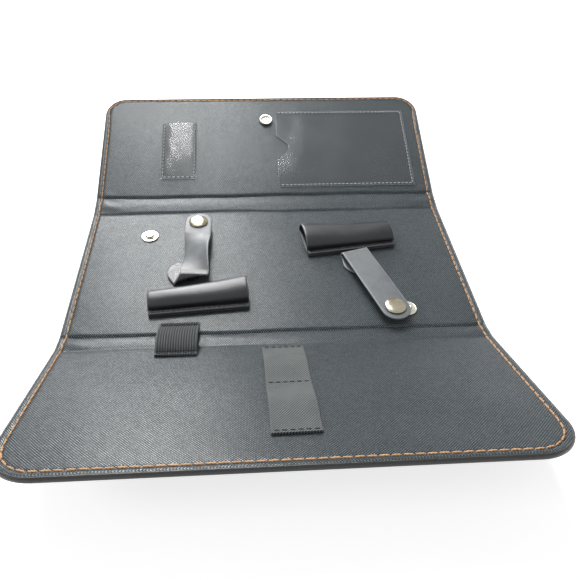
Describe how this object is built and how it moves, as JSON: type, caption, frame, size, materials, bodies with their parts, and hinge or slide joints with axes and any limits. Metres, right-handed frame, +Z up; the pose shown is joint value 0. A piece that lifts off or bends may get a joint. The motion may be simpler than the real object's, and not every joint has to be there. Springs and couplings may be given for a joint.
{
  "type": "hair shears case",
  "caption": "Folding hairdressing shears case, standing open: three panels joined by soft spines, with leather blade sheaths, snap straps, clear pockets and an elastic loop.",
  "frame": {"origin": "middle of the underside of the middle panel, on the table", "axes": "+Z up; +X along the width of the panels, to the right as the open case is used; +Y from the middle panel towards the rear panel with the clear pockets"},
  "size_m": [0.245, 0.3284, 0.045],
  "materials": {
    "cover_leathercloth": "semi-gloss coated leathercloth with a fine grain",
    "stiffener_board": "grey-brown fibreboard, bare",
    "woven_lining": "dark grey satin weave",
    "sheath_leather": "smooth black leather, half-gloss",
    "strap_leather": "grey satin leather with raw cut edges",
    "snap_nickel": "polished nickel plate",
    "clear_film": "clear glossy vinyl film",
    "ribbed_elastic": "ribbed woven elastic",
    "webbing": "close-woven flat webbing"
  },
  "bodies": {
    "middle": {"middle_cover": "cover_leathercloth", "middle_board": "stiffener_board", "middle_lining": "woven_lining", "left_sheath": "sheath_leather", "right_sheath": "sheath_leather", "left_stud": "snap_nickel", "left_stud_post": "snap_nickel", "right_stud": "snap_nickel", "right_stud_post": "snap_nickel", "elastic_loop": "ribbed_elastic"},
    "rear_spine": {"rear_spine_cover": "cover_leathercloth", "rear_spine_lining": "woven_lining"},
    "rear_panel": {"rear_cover": "cover_leathercloth", "rear_board": "stiffener_board", "rear_lining": "woven_lining", "key_pocket": "clear_film", "card_pocket": "clear_film", "closure_cap": "snap_nickel", "closure_socket": "snap_nickel"},
    "front_spine": {"front_spine_cover": "cover_leathercloth", "front_spine_lining": "woven_lining"},
    "front_panel": {"front_cover": "cover_leathercloth", "front_board": "stiffener_board", "front_lining": "woven_lining", "webbing_strip": "webbing", "closure_stud": "snap_nickel", "closure_stud_post": "snap_nickel"},
    "left_strap_root": {"left_strap_root": "strap_leather"},
    "left_strap": {"left_strap": "strap_leather", "left_strap_cap": "snap_nickel", "left_strap_socket": "snap_nickel"},
    "right_strap_root": {"right_strap_root": "strap_leather"},
    "right_strap": {"right_strap": "strap_leather", "right_strap_cap": "snap_nickel", "right_strap_socket": "snap_nickel"}
  },
  "joints": [
    {"name": "rear_fold", "type": "hinge", "parent": "middle", "child": "rear_spine", "pos_m": [0, 0.05665, 0.0028], "axis": [1, 0, 0], "range_deg": [-8.5, 79.65]},
    {"name": "rear_panel_fold", "type": "hinge", "parent": "rear_spine", "child": "rear_panel", "pos_m": [0, 0.07243, 0.00545], "axis": [1, 0, 0], "range_deg": [-8.5, 79.65]},
    {"name": "front_fold", "type": "hinge", "parent": "middle", "child": "front_spine", "pos_m": [0, -0.05665, 0.0028], "axis": [-1, 0, 0], "range_deg": [-9.4, 78.7], "deforming": ["elastic_loop"]},
    {"name": "front_panel_fold", "type": "hinge", "parent": "front_spine", "child": "front_panel", "pos_m": [0, -0.06793, 0.00505], "axis": [-1, 0, 0], "range_deg": [-9.4, 78.7]},
    {"name": "left_strap_swing", "type": "hinge", "parent": "middle", "child": "left_strap_root", "pos_m": [-0.0541, -0.012, 0.0028], "axis": [0, 0, 1], "range_deg": [0, 38.4]},
    {"name": "left_strap_lift", "type": "hinge", "parent": "left_strap_root", "child": "left_strap", "pos_m": [-0.04846, -0.00934, 0.0089], "axis": [-0.9928, 0.1201, 0], "range_deg": [-75, 1.5]},
    {"name": "right_strap_swing", "type": "hinge", "parent": "middle", "child": "right_strap_root", "pos_m": [0.054, 0.0046, 0.0028], "axis": [0, 0, 1], "range_deg": [0, 10.2]},
    {"name": "right_strap_lift", "type": "hinge", "parent": "right_strap_root", "child": "right_strap", "pos_m": [0.055, 0.00144, 0.0089], "axis": [0.9537, 0.3007, 0], "range_deg": [-75, 1.5]}
  ],
  "couplings": [
    {"joint": "rear_panel_fold", "follows": "rear_fold", "ratio": 1},
    {"joint": "front_panel_fold", "follows": "front_fold", "ratio": 1}
  ]
}
